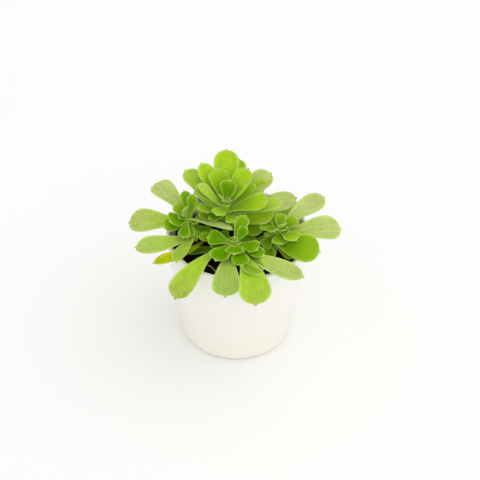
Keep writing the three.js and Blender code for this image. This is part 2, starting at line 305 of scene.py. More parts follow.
def soil_top(x, y):
    """Height of the soil: the solid's three crossing waves, with finer crossing waves on them."""
    waves = np.sin(x * 0.31 + 1) * np.cos(y * 0.27)
    waves = waves + np.sin(x * 0.63 + y * 0.52) + np.cos(x * 0.17 - y * 0.71)
    fine = np.sin(x * 1.9 + 2 * np.sin(y * 1.3)) * np.cos(y * 2.1 - x * 0.7)
    fine = fine + np.sin(x * 3.7 - y * 2.9) * 0.6
    return SOIL_LEVEL + CLOD_HEIGHT * waves * 0.5 + FINE_CLOD_HEIGHT * fine


def strewn(rng, count, reach, size, flatness):
    """Rough lumps strewn over the soil within a radius: balls with dented points, stretched,
    tilted and turned at random, and partly sunk in the soil."""
    ball_turn = np.linspace(0, math.pi, LUMP_RINGS + 2)[1:-1]
    ball, ball_faces = turned(np.sin(ball_turn), -np.cos(ball_turn), LUMP_SIDES)
    ball[-2:, 2] = (-1, 1)
    angle = rng.uniform(0, 2 * math.pi, count)
    radius = np.sqrt(rng.uniform(0, reach ** 2, count))
    x = radius * np.cos(angle)
    y = radius * np.sin(angle)
    scale = rng.uniform(*size, (count, 1)) * rng.uniform(*LUMP_STRETCH, (count, 3)) * np.array(flatness)
    dents = rng.uniform(*LUMP_DENTS, (count, len(ball), 1))
    shape = ball[None] * dents * scale[:, None]
    spin = rng.uniform(0, 2 * math.pi, count)[:, None]
    tilt = rng.normal(0, LUMP_TILT, count)[:, None]
    sx = shape[..., 0] * np.cos(tilt) - shape[..., 2] * np.sin(tilt)
    sz = shape[..., 0] * np.sin(tilt) + shape[..., 2] * np.cos(tilt)
    px = sx * np.cos(spin) - shape[..., 1] * np.sin(spin) + x[:, None]
    py = sx * np.sin(spin) + shape[..., 1] * np.cos(spin) + y[:, None]
    pz = sz + (soil_top(x, y) + LUMP_RISE * scale[:, 2])[:, None]
    points = np.stack([px, py, pz], -1).reshape(-1, 3)
    faces = [[v + n * len(ball) for v in face] for n in range(count) for face in ball_faces]
    return points, faces


rng = np.random.default_rng(SOIL_SEED)
soil_radius, soil_height = pot_outside(WALL + SLIT, SOIL_LEVEL - SOIL_SHOULDER)
edge = soil_radius[-1]
radius = np.concatenate((soil_radius, np.linspace(edge, edge / SOIL_RINGS, SOIL_RINGS)))
height = np.concatenate((soil_height, np.full(SOIL_RINGS, float(SOIL_LEVEL))))
points, faces = turned(radius, height, SOIL_SIDES)
on_top = points[:, 2] > SOIL_LEVEL - SOIL_SHOULDER / 2
points[on_top, 2] = soil_top(points[on_top, 0], points[on_top, 1])
soil_points, soil_faces = [points], faces
brown = [np.zeros(len(points))]
for count, size, flatness, browning in (
    (CRUMBS, (0.4, 1.3), (1, 1, 0.8), 0.25),
    (BARK_CHIPS, (1.4, 3.4), (1, 0.45, 0.3), 1.0),
):
    more, more_faces = strewn(rng, count, edge - RIM_CLEARANCE, size, flatness)
    start = sum(len(p) for p in soil_points)
    soil_faces += [[v + start for v in face] for face in more_faces]
    soil_points.append(more)
    brown.append(np.repeat(rng.uniform(*LUMP_BROWNS, count) * browning, len(more) // count))
soil = make_mesh("peat_soil", np.vstack(soil_points), soil_faces, {"brown": np.concatenate(brown)})

peat, tree, surface = new_material("peat")
place = add_node(tree, "ShaderNodeTexCoord").outputs["Object"]
brown_share = add_node(tree, "ShaderNodeAttribute", attribute_name="brown").outputs["Fac"]
# Brown crumbs show in the black, and each lump is as brown as its own value says.
crumbly = speckle(tree, place, 0.0016, 6.0)
earth = mix_colour(tree, spread(tree, crumbly, 0.45, 0.72), PEAT_DARK, PEAT_BROWN)
earth = mix_colour(tree, brown_share, earth, BARK_BROWN)
tree.links.new(earth, surface.inputs["Base Color"])
surface.inputs["Roughness"].default_value = 0.95
surface.inputs["Specular IOR Level"].default_value = 0.15
relief = add_node(tree, "ShaderNodeBump", {"Height": crumbly, "Strength": 0.9, "Distance": 0.0012})
tree.links.new(relief.outputs["Normal"], surface.inputs["Normal"])
soil.data.materials.append(peat)
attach(soil, "root")
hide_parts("soil")


# One dry root fibre, orange beige, lies in a loose bow on the soil by the front rim. It rises and
# sinks a little on its way and thins towards both ends.
FIBRE_ROUTE = [
    (-27, -25), (-25, -26.5), (-23, -27.5), (-20.5, -28),
    (-18, -30), (-17, -32.5), (-14, -34), (-10, -33.5),
]
FIBRE_ROWS = 40
FIBRE_SIDES = 10
FIBRE_RADIUS = 0.5
FIBRE_THINNING = 0.4
FIBRE_LIFT = 2.3
FIBRE_WAVE = 0.5
FIBRE_WAVE_RADIANS = 7
FIBRE_TAN = (1.0, 0.82, 0.56, 1)
FIBRE_BROWN = (0.66, 0.38, 0.17, 1)
OFF_THE_ROUTES = (0.3, 0.9, 0.1)


def tube(route, radii, sides):
    """Points and faces of a round closed tube: at each route point a circle stands square to the
    route's direction, and a point closes each end. The circles start square to a direction that
    no route here follows."""
    ahead = np.gradient(route, axis=0)
    ahead /= np.linalg.norm(ahead, axis=1, keepdims=True)
    across = np.cross(ahead, OFF_THE_ROUTES)
    across /= np.linalg.norm(across, axis=1, keepdims=True)
    other = np.cross(ahead, across)
    angle = np.linspace(0, 2 * math.pi, sides, endpoint=False)[None, :, None]
    circle = across[:, None] * np.cos(angle) + other[:, None] * np.sin(angle)
    rings = route[:, None] + radii[:, None, None] * circle
    points = np.vstack([rings.reshape(-1, 3), route[:1], route[-1:]])
    return points, ring_faces(len(route), sides)


def smooth_route(route, rows):
    """A smooth route of this many rows through or near given points: straight lines join
    them, and then each row is averaged three times with its neighbours, which count a quarter
    each."""
    route = np.asarray(route, float)
    at = np.linspace(0, len(route) - 1, rows)
    fine = np.stack([np.interp(at, np.arange(len(route)), route[:, k]) for k in range(route.shape[1])], -1)
    for _ in range(3):
        fine[1:-1] = 0.25 * fine[:-2] + 0.5 * fine[1:-1] + 0.25 * fine[2:]
    return fine


fibre_height = SOIL_LEVEL + FIBRE_LIFT + FIBRE_WAVE * np.sin(np.linspace(0, FIBRE_WAVE_RADIANS, FIBRE_ROWS))
fibre_route = np.column_stack([smooth_route(FIBRE_ROUTE, FIBRE_ROWS), fibre_height])
fibre_radii = FIBRE_RADIUS * (1 - FIBRE_THINNING * np.linspace(-1, 1, FIBRE_ROWS) ** 2)
fibre = make_mesh("root_fibre", *tube(fibre_route, fibre_radii, FIBRE_SIDES))
dry_root, tree, surface = new_material("dry_root")
place = add_node(tree, "ShaderNodeTexCoord").outputs["Object"]
streaks = spread(tree, speckle(tree, place, 0.0015), 0.35, 0.65)
tree.links.new(mix_colour(tree, streaks, FIBRE_TAN, FIBRE_BROWN), surface.inputs["Base Color"])
surface.inputs["Roughness"].default_value = 0.8
fibre.data.materials.append(dry_root)
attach(fibre, "root")


# The stem is a short woody trunk that stands in the soil and forks into one branch for each
# rosette. Its thin brown bark is ringed by the scars of fallen leaves. Each branch ends a small
# gap short of the green shoot that carries the rosette's leaves.
STEM_FOOT = (-9, 1, 44)
STEM_MIDDLE = (-9.3, 1, 58)
STEM_FORK = (-9, 1, 72)
FORK_SINK = 2
KNEE = 5
GAP = 0.3
TRUNK = {"rows": 40, "sides": 24, "radius": 4.365, "scars": 5, "scar": 0.03}
BRANCH = {"rows": 48, "sides": 20, "radius": 2.592, "scars": 9, "scar": 0.05}
SHOOT_TAPER = 0.04
ROSETTES = {
    "main": {"crown": (-9, 0, 124), "from": (-9, 1, 78), "core": 29},
    "front": {"crown": (-2, -26, 107), "from": (-8, -6, 84), "core": 30},
    "right": {"crown": (33, -13, 109), "from": (0, -4, 82), "core": 24},
    "left": {"crown": (-40.5, 0, 109), "from": (-12, -2, 82), "core": 27},
}
BARK_LIGHT = (0.27, 0.17, 0.09, 1)
BARK_DARK = (0.06, 0.032, 0.016, 1)


def axis_of(plan):
    """A rosette's crown and the unit direction down its stem."""
    crown = np.array(plan["crown"], float)
    down = np.array(plan["from"], float) - crown
    return crown, down / np.linalg.norm(down)


def shoot(route, make):
    """A ringed shoot along a route: a tube whose radius falls a little from end to end and swells
    by the sixth power of a sine at each leaf scar."""
    s = np.linspace(0, 1, make["rows"])
    swelling = make["scar"] * np.maximum(np.sin(2 * math.pi * make["scars"] * s), 0) ** 6
    radii = make["radius"] * (1 + swelling) * (1 - SHOOT_TAPER * s)
    return tube(smooth_route(route, make["rows"]), radii, make["sides"])


stem_points, stem_faces = shoot([STEM_FOOT, STEM_MIDDLE, STEM_FORK], TRUNK)
fork = np.array(STEM_FORK) - (0, 0, FORK_SINK)
for plan in ROSETTES.values():
    crown, down = axis_of(plan)
    end = crown + down * (plan["core"] + GAP)
    knee = crown + down * (plan["core"] + KNEE)
    more, more_faces = shoot([fork, 0.5 * (fork + knee), knee, end], BRANCH)
    stem_faces += [[v + len(stem_points) for v in face] for face in more_faces]
    stem_points = np.vstack([stem_points, more])
stem = make_mesh("woody_stem", stem_points, stem_faces)
bark, tree, surface = new_material("thin_bark")
place = add_node(tree, "ShaderNodeTexCoord").outputs["Object"]
# Thin flakes of bark, longer up the stem than across it.
stretched = add_node(tree, "ShaderNodeMapping", {"Vector": place, "Scale": (1.0, 1.0, 0.3)}).outputs[0]
flakes = speckle(tree, stretched, 0.0012, 5.0)
flaked = mix_colour(tree, spread(tree, flakes, 0.38, 0.66), BARK_DARK, BARK_LIGHT)
tree.links.new(flaked, surface.inputs["Base Color"])
surface.inputs["Roughness"].default_value = 0.85
relief = add_node(tree, "ShaderNodeBump", {"Height": flakes, "Strength": 0.6, "Distance": 0.0006})
tree.links.new(relief.outputs["Normal"], surface.inputs["Normal"])
stem.data.materials.append(bark)
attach(stem, "root")
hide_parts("stem")


# The leaves grow from a green shoot in each rosette: fleshy spoons with a narrow foot, widest
# near the end, with a small point, fine pale margins and a velvet of short hairs.
# Each row is a leaf: compass angle, rise, length, width, bend by the tip, roll, swing and drop
# below the crown, as in the solids, then how pale it is, how brown its end is and, for a few, how
# much painted shade greys it, where it lies in the others' shade. A pale of 0 or less is a deep
# young green, 1 is an old leaf's, and 2 is as light as the margins; above 1 it is painted light.
MAIN_LEAVES = [
    (77, 66, 20, 13, 0, 0, 0, 2, 0.05, 0.0),
    (-149, 53, 14, 6, -20, 0, 0, 2, 0.2, 0.0),
    (-38, 45, 9, 6, -20, 0, 0, 2, 0.2, 0.0),
    (-90, 20, 15, 6, -30, 0, 0, 2, 0.2, 0.0),
    (165, 34, 29, 12, 5, -10, 0, 5, 0.3, 0.0),
    (-165, 30, 26, 11, 10, 0, 0, 12, 0.25, 0.0),
    (13, 55, 25, 13, 10, -10, 0, 5, 0.35, 0.0),
    (115, 52, 32, 17, 8, 5, 0, 6, 0.25, 0.0),
    (48, 52, 35, 17, 12, 0, 0, 6, 0.4, 0.0),
    (-9, 32, 35, 17, 14, 15, 0, 9, 0.35, 0.0),
    (92, 44, 49, 19, 13, 0, 0, 8, 0.42, 0.1),
    (76, 44, 45, 15, 20, 0, 0, 10, 0.45, 0.0),
    (178, 52, 33, 12, 8, -5, 0, 9, 0.6, 0.3),
    (-63, 8, 13, 11, 30, 0, 0, 10, 0.3, 0.0),
    (-124, 10, 14, 12, 20, 0, 0, 4, 0.35, 0.0),
    (30, 40, 31, 11, 10, 10, 0, 9, 0.3, 0.0),
    (133, 48, 42, 14, 8, -10, 0, 9, 0.42, 0.0),
    (-4, 27, 13, 9, 10, -30, 0, 14, 0.7, 0.0),
    (33, 30, 40, 13, 6, 20, 0, 11, 0.3, 0.0),
    (154, 43, 47, 16, 20, -10, -15, 12, 0.5, 0.1, 0.25),
    (-1, 25, 45, 14, 14, 10, 0, 13, 0.6, 0.0),
    (-150, 12, 16, 12, 10, 0, 0, 12, -0.05, 0.0),
    (-178, 6, 22, 12, 0, 0, 0, 15, 0.2, 0.0),
    (170, 21, 21, 12, 10, 15, 0, 16, 0.45, 0.1),
    (172, 0, 17, 12, 10, 0, 0, 21, 0.1, 0.0),
    (-1, 30, 40, 17, 14, 30, 0, 23, 0.45, 0.1),
    (38, 38, 48, 18, 23, 15, 0, 12, 0.75, 0.3),
    (114, 25, 41, 15, 18, 0, 0, 14, 0.55, 0.0),
    (-18, 18, 30, 12, 14, 20, 0, 26, 0.15, 0.0),
    (91, 15, 48, 17, 30, 0, 0, 17, 0.65, 0.2),
    (19, 17, 58, 16, 15, 25, 0, 18, 1.3, 0.2),
    (61, 14, 47, 16, 23, 0, 0, 20, 0.6, 0.2),
    (120, 14, 48, 16, 24, 0, 0, 20, 0.65, 0.3),
    (36, 10, 52, 15, 22, 0, 0, 22, 0.8, 0.3),
    (141, 9, 51, 14, 23, 0, 0, 22, 0.8, 0.2),
    (72, 13, 69, 18, 30, 0, 0, 25, 0.9, 0.4),
    (108, 14, 67, 18, 30, 0, 0, 26, 0.85, 0.6),
]
FRONT_LEAVES = [
    (-90, 22, 16, 14, 35, 0, 0, 1, -0.08, 0.0),
    (35, 42, 16, 10, 0, 0, 0, 3, 0.0, 0.0),
    (57, 52, 24, 11, 10, 0, 0, 6, 0.15, 0.0),
    (33, -2, 21, 11, 8, -8, 0, 9, 0.1, 0.0),
    (-30, 20, 21, 14, 28, 0, 0, 3, 0.0, 0.0),
    (173, 17, 21, 15, 15, -10, 0, 5, -0.02, 0.0),
    (-121, 18, 26, 15, 30, 0, 0, 4, -0.1, 0.0),
    (-76, 13, 26, 13, 30, 0, 0, 4, -0.05, 0.0),
    (-37, 17, 28, 12, 26, 0, 0, 6, -0.08, 0.0),
    (171, 13, 27, 11, 8, 0, 0, 10, 0.05, 0.0),
    (135, 3, 18, 12, 5, 0, 0, 9, 0.05, 0.0),
    (-165, 13, 18, 11, 20, 0, 0, 8, -0.1, 0.0),
    (-62, 18, 44, 17, 24, 0, 0, 14, 0.1, 0.0, 0.15),
    (-57, 17, 68, 15, 25, 15, 40, 14, 0.8, 0.15, 0.15),
    (-93, 34, 57, 20, 75, 0, 0, 17, 0.62, 0.0, 0.6),
    (-60, 28, 66, 23, 65, 0, -25, 16, 0.52, 0.35, 0.15),
    (-168, 1, 33, 8, 10, 0, 0, 20, -0.1, 0.2),
    (-123, 34, 73, 19, 70, 0, 0, 22, 0.56, 1.0, 0.12),
]
RIGHT_LEAVES = [
    (-62, 71, 9, 8, -10, 0, 0, 1, 0.1, 0.0),
    (30, 27, 18, 12, 10, 0, 0, 3, 0.2, 0.5),
    (85, 31, 16, 9, 0, 0, 0, 3, 0.2, 0.0),
    (107, 23, 21, 10, 0, 0, 0, 5, 0.3, 0.0),
    (-47, 18, 19, 14, 19, 0, 0, 3, 0.25, 0.0),
    (-80, 4, 14, 14, 20, 0, 0, 4, 0.12, 0.0),
    (-134, 36, 11, 10, 12, 40, 0, 3, 0.3, 0.0),
    (-150, 8, 11, 9, 15, 20, 0, 5, 0.2, 0.0),
    (-13, 6, 25, 10, 0, 0, 0, 6, 0.5, 1.0),
    (156, 15, 15, 12, 10, 0, 0, 5, 0.3, 0.0),
    (-130, -20, 14, 11, 20, 0, 0, 8, 0.1, 0.0),
    (-99, -32, 17, 10, 20, 0, 0, 9, 0.05, 0.0),
    (55, 16, 31, 11, 22, 10, -20, 6, 0.65, 0.0),
    (-71, 1, 16, 9, 20, -40, 0, 8, 0.85, 0.0),
    (41, 26, 50, 16, 16, 20, -12, 8, 0.95, 0.2),
    (4, 13, 54, 20, 25, 25, 10, 10, 0.88, 0.1),
    (-3, 6, 30, 11, 17, 10, 0, 11, 0.6, 0.2),
    (66, 17, 47, 13, 29, 0, 0, 12, 0.75, 0.2),
    (-87, -10, 21, 9, 31, 10, 0, 13, 0.1, 0.0),
    (-39, -9, 27, 13, 17, 0, 0, 14, 0.15, 0.0),
    (-51, 15, 46, 22, 16, 30, 40, 14, 0.18, 0.2),
]
LEFT_LEAVES = [
    (-102, 77, 16, 8, 0, 60, 0, 3, 0.25, 0.0),
    (-147, 24, 18, 16, 11, -10, 0, 4, 0.05, 0.0),
    (-98, 15, 22, 9, 32, 0, 0, 4, -0.05, 0.0),
    (-27, 9, 11, 10, -10, 0, 0, 4, 0.15, 0.0),
    # This long leaf's pale of 2.0 is painted light: it takes the margin's colour all over, though it lies in
    # the main rosette's shade.
    (-24, 6, 40, 9, 4, -12, 0, 1, 2.0, 0.0),
    (65, 60, 22, 9, -8, 0, 0, 4, 0.15, 0.0),
    (145, 38, 18, 12, 11, 0, 0, 5, 0.25, 0.0),
    (-95, 4, 18, 11, 20, 0, 0, 6, 0.12, 0.0),
    (112, 52, 26, 9, 8, 0, 0, 7, 0.2, 0.0),
    (-159, 12, 23, 14, 20, -10, 0, 7, 0.12, 0.0),
    (-84, 1, 20, 11, 25, 30, 0, 7, 0.0, 0.0),
    (22, 15, 16, 12, 10, 0, 0, 6, 0.15, 0.0),
    (-42, -1, 18, 12, 10, 0, 0, 9, 0.1, 0.0),
    (-74, -14, 16, 7, 20, 50, 0, 8, 0.2, 0.0),
    (115, 19, 32, 12, 22, 0, 0, 9, 0.6, 0.0),
    (131, 27, 51, 18, 30, -10, 0, 9, 0.92, 0.2),
    (168, 3, 55, 20, 22, -25, 0, 11, 0.75, 0.7),
    (-121, 16, 58, 16, 30, -15, -70, 18, 0.7, 0.1, 0.25),
    (-109, 20, 47, 14, 30, 25, 0, 16, 0.3, 0.1, 0.35),
]
LEAVES = {"main": MAIN_LEAVES, "front": FRONT_LEAVES, "right": RIGHT_LEAVES, "left": LEFT_LEAVES}
SEEDS_PER_ROSETTE = 100

# A leaf's outline: the widest place and how it moves with the bend, the power of its sine and how
# that grows with the bend, the width of its foot and the length of its small point.
WIDEST = 0.74
WIDEST_SHIFT = 0.0017
STALK = 2.4
STALK_BEND = 28
LEAF_FOOT = 0.24
POINT_MM = 1.3
POINT_SHARE = 0.12
NECK_PLACE = 0.9
NECK_WIDTH = 0.14

# A leaf's section: the depth of its gutter, its flesh, the waves of its margins and the groove
# along its midrib.
CUP = 0.25
FLESH = 0.85
FLESH_PER_WIDTH = 0.055
FLESH_PER_HALF = 1.2
FLESH_LEAST = 0.15
THINNER_TIP = 0.35
THINNER_MARGIN = 0.5
SWAY = {"size": 0.035, "waves": 9, "between_sides": 2.1}
RUFFLE = {"size": 0.012, "waves": 11, "between_sides": 1.7}
RUFFLE_GROWTH = 4
GROOVE_DEPTH = 0.28
GROOVE_WIDTH = 0.8
GROOVE_END = 1.2
GROOVE_FULL_HALF = 3
MIDRIB_STEPS = 80
BLADE_ROWS = 13
ROUND_ROWS = 9
RING = 22

# The hairs: how many and how long, where they stand along the margins, and how they vary.
HAIRY_LENGTH = 10
HAIR_MM = 0.55
HAIR_SIZES = (0.6, 1.0)
HAIR_SPAN = (0.12, 0.93)
HAIR_JITTER = 0.004
HAIR_FORWARD = (0.4, 0.25)
HAIR_FOOT = 0.05
HAIR_FOOT_BACK = 0.6
HAIR_ROOT = 0.99
HAIR_LIFT = 0.35
HAIRS_PER_MM = 1.1
HAIR_SEED = 500
SPIKE_FACES = ((0, 2, 1), (0, 1, 3), (1, 2, 3), (2, 0, 3))

# The green shoot, and the bud of small leaves that closes it.
GREEN_SHOOT = {"rows": 40, "sides": 16, "radius": 2.522, "scars": 7, "scar": 0.04}
GOLDEN_ANGLE = 137.5
BUD_LEAVES = 8
BUD_LENGTHS = (4, 8)
BUD_RISES = (75, 42)
BUD_WIDTH = 0.8
BUD_BEND = -25
BUD_DROP = 1
BUD_PALE = 0.15

# What the skin is told at each point: the row's last three values, the share of the leaf's
# length, millimetres from the midrib, from the margin and from the tip, 1 on the underside, and a
# number that sets each leaf's veins apart. The hairs are told that they lie on the margin, and the
# green shoot that it is far from one, and both that they are far from a midrib and a tip.
SKIN_VALUES = ("pale", "blush", "dull", "share", "across", "edge", "tip", "under", "seed")
SEED_STEP = 0.37
SEED_RANGE = 10
UNDER_SHARPNESS = 3
TIP_EDGE_SHARE = 0.8
TIP_EDGE_LEAST = 0.2
FAR_FROM_MIDRIB = 3.0
FAR_FROM_MARGIN = 3.0
FAR_FROM_TIP = 9.0


class Leaf:
    """One leaf's row of measures, by name."""

    def __init__(self, azimuth, rise, length, width, bend, roll, swing, drop, pale, blush, dull=0.0):
        self.azimuth, self.rise, self.length, self.width = azimuth, rise, length, width
        self.bend, self.roll, self.swing, self.drop = bend, roll, swing, drop
        self.pale, self.blush, self.dull = pale, blush, dull


def widest_at(bend):
    """Share of a leaf's length at which it is widest: nearer to the tip the more the leaf bends."""
    return WIDEST + WIDEST_SHIFT * max(bend, 0)


def half_width(s, bend):
    """Half a leaf's width as a share of its greatest half: a power of a sine up to the widest place,
    higher for a leaf that bends far, then a quarter circle down to the tip."""
    power = STALK + max(bend, 0) / STALK_BEND
    widest = widest_at(bend)
    rise = LEAF_FOOT + (1 - LEAF_FOOT) * np.sin(math.pi / 2 * np.clip(s / widest, 0, 1)) ** power
    u = np.clip((s - widest) / (1 - widest), 0, 1)
    return np.where(s < widest, rise, np.sqrt(1 - u ** 2))


def heading(climb, turn):
    """Unit direction with this climb above level and this compass angle, in radians."""
    return np.stack([np.cos(climb) * np.cos(turn), np.cos(climb) * np.sin(turn), np.sin(climb)], -1)


def angles_at(leaf, s):
    """Climb and compass angle at shares of a leaf's length, in radians: the climb falls by the
    bend, and the compass angle turns by the swing, in step with the share."""
    return np.radians(leaf.rise - leaf.bend * s), np.radians(leaf.azimuth + leaf.swing * s)


def midrib(base, leaf, s):
    """Points, side and normal directions along a leaf: the points add up its headings in short
    steps, the side direction is level and square to the heading, and the roll tips both over."""
    fine = np.linspace(0, 1, MIDRIB_STEPS + 1)
    steps = heading(*angles_at(leaf, fine))
    strides = 0.5 * (steps[1:] + steps[:-1]) * (leaf.length / MIDRIB_STEPS)
    run = np.vstack([np.zeros(3), np.cumsum(strides, axis=0)])
    middle = base + np.stack([np.interp(s, fine, run[:, k]) for k in range(3)], -1)
    climb, turn = angles_at(leaf, s)
    level = np.stack([-np.sin(turn), np.cos(turn), np.zeros_like(turn)], -1)
    upright = np.cross(heading(climb, turn), level)
    tip_over = math.radians(leaf.roll)
    side = level * math.cos(tip_over) + upright * math.sin(tip_over)
    normal = upright * math.cos(tip_over) - level * math.sin(tip_over)
    return middle, side, normal


def even_values(shape, **given):
    """Skin values that are the same at every point: those given, and 0 for the rest."""
    return {key: np.full(shape, given.get(key, 0.0)) for key in SKIN_VALUES}


def blade(base, leaf, seed):
    """One closed leaf: round sections along the midrib. Across a section the angle a gives
    t = cos a from margin to margin, the gutter lifts each point by t squared, and the thickness
    follows the sine of a, so the margins are rounded. A narrow neck and a collapsed last ring
    make the point."""
    rounding = np.sin(np.linspace(0, math.pi / 2, ROUND_ROWS + 1))[1:]
    widest = widest_at(leaf.bend)
    s = np.concatenate((np.linspace(0, widest, BLADE_ROWS), widest + (1 - widest) * rounding))
    wide = half_width(s, leaf.bend)
    point_share = min(POINT_MM / leaf.length, POINT_SHARE)
    s = s * (1 - point_share * np.clip((s - widest) / (1 - widest), 0, 1))
    s = np.append(s[:-1], (1 - point_share * NECK_PLACE, 1.0))
    wide = np.append(wide[:-1], (NECK_WIDTH, 0.0))
    middle, side, normal = midrib(base, leaf, s)
    s = s[:, None]
    half = 0.5 * leaf.width * wide[:, None]
    angle = np.linspace(0, 2 * math.pi, RING, endpoint=False)
    t = np.cos(angle)[None, :]
    up = np.sin(angle)[None, :]

    phases = np.random.default_rng(seed).uniform(0, 2 * math.pi, 2)
    sway, ruffle = (
        wave["size"] * np.sin(wave["waves"] * s + phase + (t > 0) * wave["between_sides"])
        for wave, phase in zip((SWAY, RUFFLE), phases)
    )
    reach = half * t * (1 + sway)
    ruffle = leaf.width * t ** 2 * ruffle * np.minimum(1, RUFFLE_GROWTH * half / leaf.width)
    flesh = (FLESH + FLESH_PER_WIDTH * leaf.width) * (1 - THINNER_TIP * s) * (1 - THINNER_MARGIN * t ** 2)
    thickness = np.minimum(flesh, FLESH_PER_HALF * half + FLESH_LEAST)
    groove = GROOVE_DEPTH * np.exp(-(reach / GROOVE_WIDTH) ** 2) * (up > 0)
    groove = groove * np.clip(GROOVE_END - s, 0, 1) * np.minimum(1, half / GROOVE_FULL_HALF)
    lift = CUP * half * t ** 2 + 0.5 * thickness * up + ruffle - groove
    points = middle[:, None] + side[:, None] * reach[..., None] + normal[:, None] * lift[..., None]
    points = np.vstack([points.reshape(-1, 3), middle[:1], middle[-1:]])
    faces = [face[::-1] for face in ring_faces(len(s), RING)]

    share = np.repeat(s, RING, 1)
    values = even_values(
        share.shape, pale=leaf.pale, blush=leaf.blush, dull=leaf.dull, seed=seed * SEED_STEP % SEED_RANGE)
    values["share"] = share
    values["across"] = reach
    to_point = (1 - point_share - share) * leaf.length
    values["edge"] = np.minimum(half - np.abs(reach), to_point * TIP_EDGE_SHARE + TIP_EDGE_LEAST)
    values["tip"] = (1 - share) * leaf.length
    values["under"] = np.repeat(np.clip(-up * UNDER_SHARPNESS, 0, 1), len(s), 0)
    values = {key: np.concatenate([v.ravel(), v[0, :1], v[-1, :1]]) for key, v in values.items()}
    return points, faces, values


def margin_hairs(base, leaf, seed):
    """Short hairs along both margins: thin three-sided spikes that stand out sideways, a little
    upwards and forward from the blade's edge."""
    rng = np.random.default_rng(seed + HAIR_SEED)
    count = int(leaf.length * HAIRS_PER_MM)
    s = np.tile(np.linspace(*HAIR_SPAN, count), 2) + rng.normal(0, HAIR_JITTER, 2 * count)
    sign = np.repeat([-1.0, 1.0], count)
    half = 0.5 * leaf.width * half_width(s, leaf.bend)
    middle, side, normal = midrib(base, leaf, s)
    ahead = np.cross(side, normal)
    root = middle + side * (half * sign * HAIR_ROOT)[:, None] + normal * (CUP * half)[:, None]
    forward = rng.normal(*HAIR_FORWARD, 2 * count)[:, None]
    out = side * sign[:, None] + HAIR_LIFT * normal + ahead * forward
    out /= np.linalg.norm(out, axis=1, keepdims=True)
    size = HAIR_MM * rng.uniform(*HAIR_SIZES, 2 * count)[:, None]
    back = root - ahead * HAIR_FOOT * HAIR_FOOT_BACK
    corners = [root + ahead * HAIR_FOOT, back + normal * HAIR_FOOT, back - normal * HAIR_FOOT]
    corners.append(root + out * size)
    points = np.stack(corners, 1).reshape(-1, 3)
    first = (np.arange(2 * count) * len(corners))[:, None]
    faces = np.concatenate([first + face for face in SPIKE_FACES]).tolist()
    return points, faces, even_values(
        len(points), pale=1.0, share=0.5, across=FAR_FROM_MIDRIB, tip=FAR_FROM_TIP)


def green_shoot(crown, down, length):
    """The green shoot that the leaves stand on, from its foot up to the crown, with low rings
    where leaves have come away."""
    points, faces = shoot([crown + down * length, crown], GREEN_SHOOT)
    return points, faces, even_values(
        len(points), pale=0.45, share=0.2, across=FAR_FROM_MIDRIB, edge=FAR_FROM_MARGIN, tip=FAR_FROM_TIP)


def bud_leaves(down):
    """The small leaves that close a crown: each turns on by the golden angle about the rosette's
    axis, and stands less steeply and longer than the one before. Its direction is worked out
    about the Z axis and then turned over with it onto the rosette's axis."""
    up = -down
    axis = np.cross((0, 0, 1), up)
    leaves = []
    for k in range(BUD_LEAVES):
        age = (k + 1) / BUD_LEAVES
        climb = BUD_RISES[0] + (BUD_RISES[1] - BUD_RISES[0]) * age
        way = heading(math.radians(climb), math.radians(GOLDEN_ANGLE * k))
        way = way * up[2] + np.cross(axis, way) + axis * axis.dot(way) / (1 + up[2])
        length = BUD_LENGTHS[0] + (BUD_LENGTHS[1] - BUD_LENGTHS[0]) * age
        azimuth = math.degrees(math.atan2(way[1], way[0]))
        rise = math.degrees(math.asin(way[2]))
        leaves.append(Leaf(
            azimuth, rise, length, BUD_WIDTH * length, BUD_BEND, 0, 0, BUD_DROP, BUD_PALE, 0.0))
    return leaves


def join(parts):
    """Several points, faces and values as one set."""
    points, faces, values = [], [], {key: [] for key in SKIN_VALUES}
    start = 0
    for part_points, part_faces, part_values in parts:
        faces += [[v + start for v in face] for face in part_faces]
        points.append(part_points)
        for key in SKIN_VALUES:
            values[key].append(part_values[key])
        start += len(part_points)
    return np.vstack(points), faces, {key: np.concatenate(v) for key, v in values.items()}


def plus(tree, first, second):
    """The sum of two values."""
    return add_node(tree, "ShaderNodeMath", {0: first, 1: second}, operation="ADD").outputs[0]


VEIN_WIDTH = 0.8
VEIN_DRAW = 0.06
VEINS_APART = 7.0
VEIN_RELIEF = 0.8
FLECK_STRENGTH = 0.42


